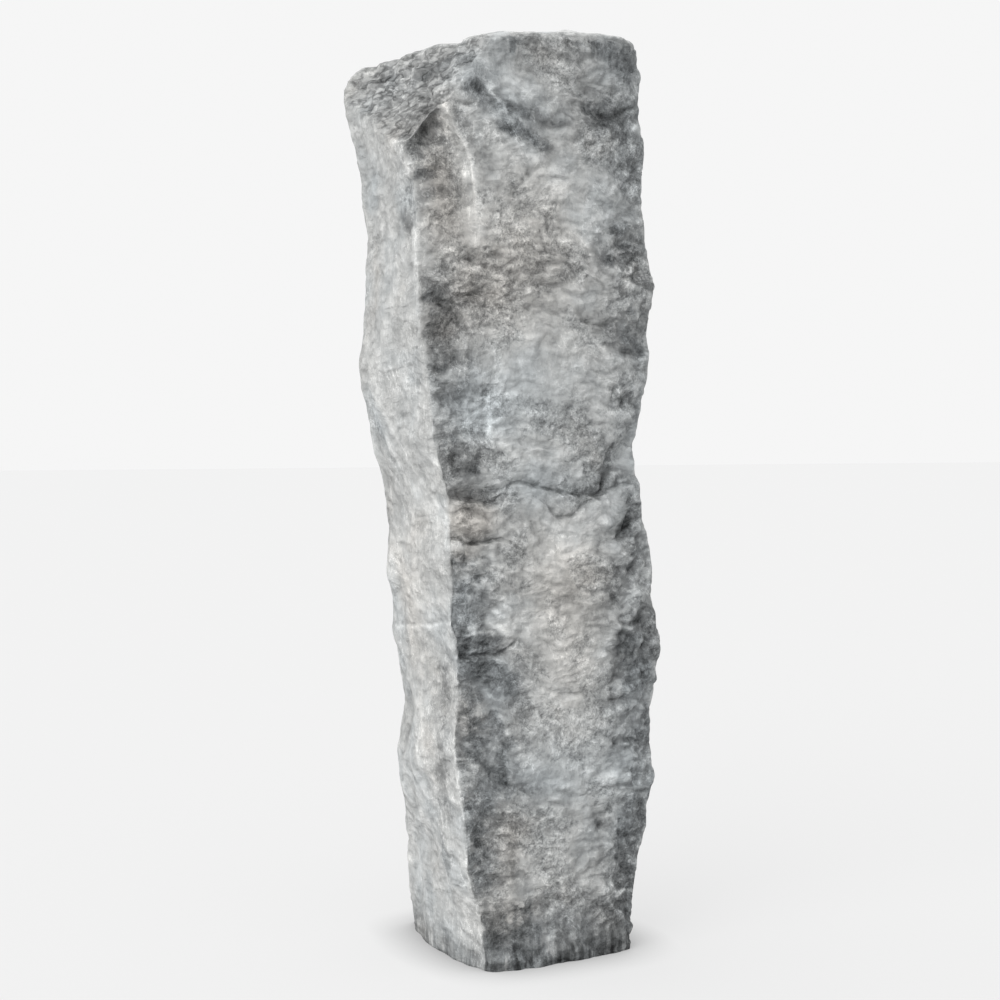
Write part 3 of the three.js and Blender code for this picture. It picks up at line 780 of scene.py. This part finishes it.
def lay_out(mesh):
    """Lays the skin out flat on a square sheet: the four sides in a row, the top and the foot above them."""
    points = places(mesh)
    low, high = points.min(axis=0), points.max(axis=0)
    wide, deep, tall = high - low
    corners = values_of(mesh.loops, "vertex_index", kind=int)
    starts = values_of(mesh.polygons, "loop_start", kind=int)
    turned = np.add.reduceat(evened(mesh, directions(mesh), 20)[corners], starts)
    axis = abs(turned).argmax(axis=1)
    side = 2 * axis + (turned[np.arange(len(axis)), axis] > 0)
    side = np.repeat(side, np.diff(np.append(starts, len(corners))))
    x, y, z = (points - low)[corners].T
    across = np.choose(side, [deep - y, y, x, wide - x, wide - x, x])
    up = np.choose(side, [z, z, z, z, y, y])
    second, third, fourth = wide + SHEET_GAP, wide + deep + 2 * SHEET_GAP, 2 * wide + deep + 3 * SHEET_GAP
    above = tall + SHEET_GAP
    origins = np.array([(second, 0), (fourth, 0), (0, 0), (third, 0), (second, above), (0, above)])
    laid = (np.stack([across, up], axis=1) + origins[side] + SHEET_GAP / 2) / (above + deep + SHEET_GAP)
    mesh.uv_layers.new(name="OFBake").uv.foreach_set("vector", laid.ravel())


def cut_foot(piece):
    """Cuts the stone off flat at the ground."""
    only(piece)
    bpy.ops.object.mode_set(mode="EDIT")
    bpy.ops.mesh.select_all(action="SELECT")
    bpy.ops.mesh.bisect(plane_co=(0, 0, 0), plane_no=(0, 0, 1), use_fill=True, clear_inner=True)
    bpy.ops.object.mode_set(mode="OBJECT")


def make_stone():
    corner = near_corner(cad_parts["stone"].data)
    piece = copy_of_solid()
    apply_modifier(piece, "REMESH", mode="VOXEL", voxel_size=SKIN_VOXEL)
    apply_modifier(piece, "SMOOTH", factor=0.5, iterations=2)
    refine(piece, corner)
    mesh = piece.data
    skin = Skin(mesh, corner)
    steady = evened(mesh, directions(mesh), 5)
    steady /= np.linalg.norm(steady, axis=1)[:, None]
    worn = ((places(mesh) - evened(mesh, places(mesh), 5)) * steady).sum(axis=1)
    strong = (0.5 + skin.ovals(LUMPY)).clip(0.15, 1)
    lump_depth, lumps = lump_relief(skin, strong)
    mark_depth, folds, crevice = drawn_relief(skin)
    vein = veins_of(skin)
    skin.run_front_around()
    attributes = {
        # tone, with painted shadow in places and a painted highlight on what faces up
        "tone": tone_of(skin),
        "warmth": skin.ovals(WARMTHS),
        # painted shade in the cracks, under the ledges and in each fold
        "crevice": crevice,
        "folds": folds,
        "vein": vein,
        "lumps": lumps,
        "strong": strong,
        "worn": (worn / 0.0025).clip(0, 1),
        "leftward": skin.facing("left"),
        "arris": (skin.out @ np.array(ARRIS_OUT) * 6 - 4.6).clip(0, 1),
        "rough_corner": evened(mesh, skin.facing("corner"), 14),
        # darker towards the foot and in streaks, with painted shadow in the recess under the broken corner
        "damp": dark_streaks_and_shade_of(skin),
    }
    push(piece, (SWELL - lump_depth - mark_depth)[:, None] * steady)
    apply_modifier(piece, "SMOOTH", factor=0.3, iterations=1)
    for name, values in attributes.items():
        mesh.attributes.new(name, "FLOAT", "POINT").data.foreach_set("value", values.astype(np.float32))
    cut_foot(piece)
    lay_out(mesh)
    only(piece)
    bpy.ops.object.shade_smooth()
    return piece


# ---- Materials ----

class Nodes:
    """Adds shader nodes to a tree: each call returns the node's output."""

    def __init__(self, tree):
        self.tree = tree

    def add(self, kind, inputs, output=0, **settings):
        node = self.tree.nodes.new("ShaderNode" + kind)
        for key, value in settings.items():
            setattr(node, key, value)
        for key, value in inputs.items():
            if isinstance(value, bpy.types.NodeSocket):
                self.tree.links.new(value, node.inputs[key])
            else:
                node.inputs[key].default_value = value
        return node.outputs[output]

    def maths(self, operation, *values):
        return self.add("Math", dict(enumerate(values)), operation=operation)

    def plus(self, base, value, factor):
        return self.maths("MULTIPLY_ADD", value, factor, base)

    def times(self, value, *others):
        for other in others:
            value = self.maths("MULTIPLY", value, other)
        return value

    def layered(self, base, layers):
        """base with layers added to it: each has a share, and the values that are multiplied with it."""
        for share, *values in layers:
            base = self.plus(base, self.times(*values), share)
        return base

    def vector(self, operation, *values):
        return self.add("VectorMath", dict(enumerate(values)), operation=operation)

    def scaled(self, vector, factor):
        return self.add("VectorMath", {0: vector, "Scale": factor}, operation="SCALE")

    def turned(self, vector, degrees, stretch):
        """vector turned about the axis across the sides, and then stretched."""
        found = self.add("VectorRotate", {"Vector": vector, "Angle": math.radians(degrees)},
                         rotation_type="Y_AXIS")
        return self.vector("MULTIPLY", found, stretch)

    def between(self, value, low, high, start=0.0, end=1.0):
        """Eases value from start to end as it goes from low to high."""
        inputs = {"Value": value, "From Min": low, "From Max": high, "To Min": start, "To Max": end}
        return self.add("MapRange", inputs, interpolation_type="SMOOTHSTEP")

    def noise(self, vector, scale, detail=4.0, roughness=0.55, output=0, **settings):
        inputs = {"Vector": vector, "Scale": scale, "Detail": detail, "Roughness": roughness}
        return self.add("TexNoise", inputs, output, **settings)

    def centred(self, vector, scale, detail=4.0, roughness=0.55):
        """Noise about 0, roughly -0.5 to 0.5."""
        return self.maths("SUBTRACT", self.noise(vector, scale, detail, roughness), 0.5)

    def shifts(self, vector, scale):
        """A direction that changes from place to place, about 0."""
        return self.vector("SUBTRACT", self.noise(vector, scale, 2.0, output=1), (0.5, 0.5, 0.5))

    def billow(self, vector, scale, detail=2.0, roughness=0.5):
        """Rounded lumps, with sharp creases at 0 between them."""
        return self.maths("ABSOLUTE", self.centred(vector, scale, detail, roughness))

    def lines(self, vector, scale, detail, roughness, width):
        """1 along the creases between lumps, and 0 past a width from them."""
        return self.between(self.billow(vector, scale, detail, roughness), 0.0, width, 1.0, 0.0)

    def fibres(self, vector, scale, detail=4.0, roughness=0.6):
        """Fine crossing fibres, about 0 to 1."""
        found = self.noise(vector, scale, detail, roughness, noise_type="RIDGED_MULTIFRACTAL")
        found.node.inputs["Offset"].default_value = 1.0
        found.node.inputs["Gain"].default_value = 2.0
        return self.add("MapRange", {"Value": found, "From Min": 0.6, "From Max": 2.6})

    def swells(self, vector, scale, detail=2.0, roughness=0.5, soft=0.03):
        """Rounded lumps, with soft hollows at 0 between them."""
        value = self.centred(vector, scale, detail, roughness)
        return self.plus(-soft, self.maths("SQRT", self.plus(soft * soft, value, value)), 1.0)

    def attribute(self, name):
        return self.add("Attribute", {}, 2, attribute_name=name)


def new_material(name):
    """A new material, its nodes and its shader."""
    material = bpy.data.materials.new(name)
    material.use_nodes = True
    return material, Nodes(material.node_tree), material.node_tree.nodes["Principled BSDF"]


def rock_patterns(n):
    """The patterns that the rock's colour and relief are made of."""
    p = SimpleNamespace()
    names = ("strong", "lumps", "tone", "warmth", "vein", "crevice", "folds", "rough_corner", "damp",
             "leftward", "arris", "worn")
    for name in names:
        setattr(p, name, n.attribute(name))

    place = n.add("TexCoord", {}, 3)
    drift, curl = n.shifts(place, 5.0), n.shifts(place, 18.0)
    bent = n.vector("ADD", n.vector("ADD", place, n.scaled(drift, 0.06)), n.scaled(curl, 0.007))
    near = n.vector("ADD", n.vector("ADD", place, n.scaled(drift, 0.03)), n.scaled(curl, 0.003))
    wavy = n.vector("MULTIPLY", bent, (1.0, 1.0, 2.1))
    upright = n.vector("MULTIPLY", n.vector("ADD", place, n.scaled(curl, 0.008)), (1.0, 1.0, 0.22))
    long_upright = n.vector("MULTIPLY", upright, (1.0, 1.0, 0.4))
    slanted = n.turned(near, 38, (1.0, 1.0, 0.35))
    leaning = n.turned(near, -50, (1.0, 1.0, 0.35))
    just_above = n.vector("ADD", near, (-0.001, -0.001, 0.004))
    well_above = n.vector("ADD", wavy, (-0.003, -0.003, 0.018))

    # Soft shapes, from broad to fine.
    p.cloud = n.centred(bent, 7.0, 5.0, 0.55)
    p.tinge = n.centred(bent, 6.0, 4.0)
    p.plaque = n.between(n.noise(near, 12.0, 5.0, 0.55), 0.48, 0.53, -0.5, 0.5)
    p.wave = n.swells(wavy, 13.0, 3.0, 0.42)
    p.blotch = n.centred(bent, 17.0, 5.0, 0.58)
    p.patchy = n.between(n.noise(bent, 17.0, 5.0, 0.58), 0.43, 0.57, -0.5, 0.5)
    p.nugget = n.billow(near, 26.0, 3.0, 0.5)
    p.islands = n.between(n.noise(near, 34.0, 3.0, 0.5), 0.56, 0.62)
    p.dappled = n.between(n.noise(near, 40.0, 3.0, 0.50), 0.43, 0.57, -0.5, 0.5)
    p.blob = n.centred(near, 46.0, 3.0, 0.50)
    p.crumb = n.swells(near, 62.0, 3.0, 0.55)
    p.fleck = n.centred(near, 110.0, 3.0, 0.60)
    p.grain = n.centred(place, 320.0, 3.0, 0.70)

    # Painted light and shade on the flanks of the lumps: paler where they face up and to the left, darker
    # where they turn away.
    p.flank = n.maths("SUBTRACT", n.billow(near, 30.0, 3.0, 0.5), n.billow(just_above, 30.0, 3.0, 0.5))
    p.broad_flank = n.maths("SUBTRACT", p.wave, n.swells(well_above, 13.0, 3.0, 0.42))

    # Creases and thin lines. The first two are painted shade in the creases between the swells and lumps.
    p.seam = n.between(p.wave, 0.0, 0.035, 1.0, 0.0)
    p.crease = n.between(n.swells(near, 27.0, 2.0, 0.5), 0.0, 0.035, 1.0, 0.0)
    p.crackle = n.lines(n.vector("MULTIPLY", near, (1.0, 1.0, 1.7)), 23.0, 2.0, 0.5, 0.075)
    p.fibre = n.maths("SUBTRACT", n.fibres(near, 42.0), 0.5)
    p.net = n.lines(near, 34.0, 4.0, 0.60, 0.040)
    p.stripe = n.lines(upright, 60.0, 5.0, 0.60, 0.022)
    veined = n.between(n.noise(place, 7.0, 4.0, 0.6), 0.50, 0.64)
    p.thread = n.times(n.lines(bent, 15.0, 6.0, 0.60, 0.014), veined)
    haired = n.between(n.noise(place, 9.0, 4.0, 0.6), 0.54, 0.66)
    p.hair = n.times(n.lines(slanted, 30.0, 4.0, 0.58, 0.016), haired)
    laced = n.between(n.plus(p.tone, n.centred(place, 11.0, 3.0), 2.0), 0.1, -0.5)
    p.lace = n.times(n.lines(near, 19.0, 5.0, 0.62, 0.030), laced)
    zone = n.noise(place, 4.5, 3.0, 0.5)
    strokes = n.times(n.centred(slanted, 60.0, 3.0, 0.65), n.between(zone, 0.50, 0.58))
    p.strokes = n.plus(strokes, n.centred(leaning, 60.0, 3.0, 0.65), n.between(zone, 0.50, 0.42))
    p.streak = n.layered(0.0, [
        (0.7, n.centred(long_upright, 34.0, 3.0, 0.55)),
        (0.14, n.between(n.noise(long_upright, 60.0, 3.0, 0.55), 0.45, 0.55, -0.5, 0.5)),
    ])

    # Where the tone is broken up, where it is gloomiest, where the rock is gritty, and where it is plain.
    uneven = n.plus(p.blotch, p.blob, 0.7)
    p.broken = n.between(uneven, -0.18, 0.16, 1.30, 0.65)
    p.gloom = n.between(n.plus(p.tone, uneven, 1.6), -0.42, -0.58)
    p.grit = n.between(n.noise(bent, 6.0, 4.0, 0.6), 0.49, 0.60)
    p.plainer = n.between(p.leftward, 0.0, 1.0, 1.0, 0.3)
    return p


def rock_lightness(n, p):
    """How light the rock is, 0 to 1, with painted light and shade on its lumps, in its creases and cracks
    and under its ledges. It also settles where the rock is gritty and busy.
    """
    light = n.layered(0.682, [
        (0.19, p.cloud),
        (0.150, p.tone, p.broken),
        # darker towards the foot and in streaks; under the broken corner this is painted shadow in its
        # recess
        (-1.0, p.damp, n.plus(0.20, p.streak, -0.8)),
        (0.035, p.plaque),
        (-0.045, p.gloom),
    ])
    p.grit = n.maths("MAXIMUM", p.grit, n.between(light, 0.58, 0.46))
    p.grit = n.times(p.grit, n.between(p.leftward, 0.0, 1.0, 1.0, 0.4))
    plain_left = n.between(p.leftward, 0.0, 1.0, 1.0, 0.62)
    plain_where_darkened = n.between(p.damp, 0.0, 1.0, 1.0, 0.50)
    p.busy = n.times(n.plus(0.27, p.grit, 1.0), plain_left, plain_where_darkened)
    light = n.layered(light, [
        (-0.03, p.grit),
        (-0.045, p.islands),
        (0.045, p.islands, p.grit),
        (0.042, p.patchy, p.busy),
        (0.052, p.dappled, p.busy),
        # painted light and shade on the flanks of the lumps: this row and the next
        (0.55, p.flank, p.busy, p.plainer),
        (0.42, p.broad_flank, p.strong, p.plainer),
        (0.14, p.strokes, p.busy),
        (0.05, p.fibre, p.busy),
        (0.30, p.fleck, p.busy),
        (0.36, p.grain, p.busy),
        # the next four rows: painted light on the tops of the swells and the corner's lumps, painted shade
        # in the creases between them
        (n.between(p.strong, 0.0, 1.0, 0.15, 0.45), n.maths("SUBTRACT", p.wave, 0.07)),
        (-0.060, p.seam, p.strong, p.broken),
        (-0.040, p.crease, p.busy, p.broken),
        (0.5, n.maths("SUBTRACT", p.nugget, 0.08), p.rough_corner),
        (0.10, p.thread),
        (0.15, p.hair),
        (0.090, p.lace),
        (0.12, p.stripe, n.plus(0.15, p.arris, 1.0)),
        (0.22, p.vein, n.plus(0.80, p.net, 0.25)),
        # painted light on the tops of the skin's lumps and painted shade in the creases between them
        (0.14, n.maths("SUBTRACT", p.lumps, 0.6)),
        # painted shade under the ledges and in each fold
        (-0.18, p.folds, p.broken),
        (0.025, p.worn),
        (-0.006, p.leftward),
        # painted shade inside the cracks
        (-0.08, p.crevice, n.between(p.blotch, -0.2, 0.15, 1.3, 0.5)),
        (-0.055, p.rough_corner),
        (-0.17, p.rough_corner, p.crackle, p.broken),
    ])
    light = n.plus(light, n.maths("MAXIMUM", n.maths("SUBTRACT", 0.50, light), 0.0), 0.30)
    return n.maths("MINIMUM", light, 0.93)


def rock_tint(n, p, light):
    """From bluish to brownish."""
    warm = n.layered(0.0, [
        (0.7, p.warmth),
        (2.4, p.tinge),
        (0.5, n.maths("SUBTRACT", light, 0.65)),
        (-0.03, p.leftward),
        (-0.35, p.grit),
    ])
    bluish, brownish = (0.948, 1.012, 1.042, 1), (1.044, 1.004, 0.945, 1)
    inputs = {0: n.between(warm, -1.1, 1.1), 6: bluish, 7: brownish}
    return n.add("Mix", inputs, 2, data_type="RGBA")


def rock_height(n, p):
    """Height of the fine relief, in metres."""
    return n.layered(0.0, [
        (n.between(p.strong, 0.0, 1.0, 0.023, 0.047), p.wave),
        (n.between(p.rough_corner, 0.0, 1.0, 0.003, 0.012), p.crumb, p.busy),
        (0.024, p.nugget, p.rough_corner),
        (0.013, p.blob, p.busy),
        (0.010, p.strokes, p.busy),
        (0.003, p.fibre, p.busy),
        (0.005, p.fleck, p.busy),
        (0.0010, p.grain, p.busy),
        (0.010, p.blotch),
        (-0.003, p.crevice),
    ])


def rock():
    material, n, shader = new_material("grey_rock")
    p = rock_patterns(n)
    light = rock_lightness(n, p)
    albedo = n.maths("POWER", light, 2.2)
    grey = n.add("CombineColor", {0: albedo, 1: albedo, 2: albedo})
    inputs = {0: 1.0, 6: grey, 7: rock_tint(n, p, light)}
    colour = n.add("Mix", inputs, 2, data_type="RGBA", blend_type="MULTIPLY")
    bump = n.add("Bump", {"Height": rock_height(n, p), "Strength": 1.0, "Distance": 1.0})
    n.tree.links.new(colour, shader.inputs["Base Color"])
    n.tree.links.new(n.between(p.blotch, -0.2, 0.2, 0.94, 0.80), shader.inputs["Roughness"])
    n.tree.links.new(bump, shader.inputs["Normal"])
    shader.inputs["Specular IOR Level"].default_value = 0.25
    return material


# ---- Stage ----

FLOOR_SIZE = 120
FLOOR_GREY = 0.23
FLOOR_PAINTED_GLOW = 0.585       # the floor's painted glow, which fades where the stone shuts the air in: a painted contact shadow
SHADOW_REACH = 0.13      # how far from the stone's foot it fades
WALL = 0.92              # brightness of the plain wall behind
ROOM = 0.70              # brightness of the room around, level with the eye
SIDE_SLANT = 0.5         # how much brighter the room is on the left than on the right
TOP_SLANT = 1.0          # how much brighter the room is overhead
KEY_BRIGHTNESS = 1.4
KEY_SPREAD = 50          # degrees
KEY_TOWARDS = (1.2, 0.55, -0.5)
CAMERA_PLACE = (-1.7724, -3.6904, 1.2446)
CAMERA_DOWN = 2.165      # degrees below level
CAMERA_TURN = 25.66      # degrees to the right of straight on
LENS = 60
SENSOR_WIDTH = 36


def floor():
    bpy.ops.object.select_all(action="DESELECT")
    bpy.ops.mesh.primitive_plane_add(size=FLOOR_SIZE, location=(0, 0, 0))
    plane = bpy.context.object
    plane.name = "floor"
    material, n, shader = new_material("pale_floor")
    # painted contact shadow: the floor's glow fades where the stone shuts it in
    painted_shadow_fade = n.add("AmbientOcclusion", {"Distance": SHADOW_REACH}, 1)
    n.tree.links.new(n.times(painted_shadow_fade, FLOOR_PAINTED_GLOW), shader.inputs["Emission Strength"])
    shader.inputs["Emission Color"].default_value = (1.0, 1.0, 1.0, 1)
    shader.inputs["Base Color"].default_value = (FLOOR_GREY, FLOOR_GREY, FLOOR_GREY, 1)
    shader.inputs["Roughness"].default_value = 0.9
    shader.inputs["Specular IOR Level"].default_value = 0.0
    plane.data.materials.append(material)


def lights():
    """A pale room, brighter on the left, and a wide soft key light on the left."""
    world = bpy.data.worlds.new("studio")
    bpy.context.scene.world = world
    world.use_nodes = True
    n = Nodes(world.node_tree)
    direction = n.add("SeparateXYZ", {0: n.add("TexCoord", {}, 0)}, 0)
    height = direction.node.outputs["Z"]
    room = n.layered(ROOM, [(-ROOM * SIDE_SLANT, direction), (ROOM * TOP_SLANT, height)])
    seen = n.add("LightPath", {}, 0)
    background = n.tree.nodes["Background"]
    background.inputs["Color"].default_value = (1.0, 1.0, 1.0, 1)
    strength = n.add("Mix", {0: seen, 2: room, 3: WALL}, 0, data_type="FLOAT")
    n.tree.links.new(strength, background.inputs["Strength"])
    bpy.ops.object.light_add(type="SUN", location=(-4.0, 0.0, 4.0))
    key = bpy.context.object
    key.data.angle = math.radians(KEY_SPREAD)
    key.data.energy = KEY_BRIGHTNESS
    key.rotation_euler = Vector(KEY_TOWARDS).to_track_quat("-Z", "Y").to_euler()


def camera():
    data = bpy.data.cameras.new("camera")
    view = bpy.data.objects.new("camera", data)
    bpy.context.scene.collection.objects.link(view)
    view.location = CAMERA_PLACE
    view.rotation_euler = (math.radians(90 - CAMERA_DOWN), 0, math.radians(-CAMERA_TURN))
    data.lens = LENS
    data.sensor_width = SENSOR_WIDTH
    bpy.context.scene.camera = view


camera()
lights()
floor()
stone = make_stone()
stone.data.materials.clear()
stone.data.materials.append(rock())
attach(stone, "root")
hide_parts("stone")
bpy.context.scene.view_settings.view_transform = "Standard"
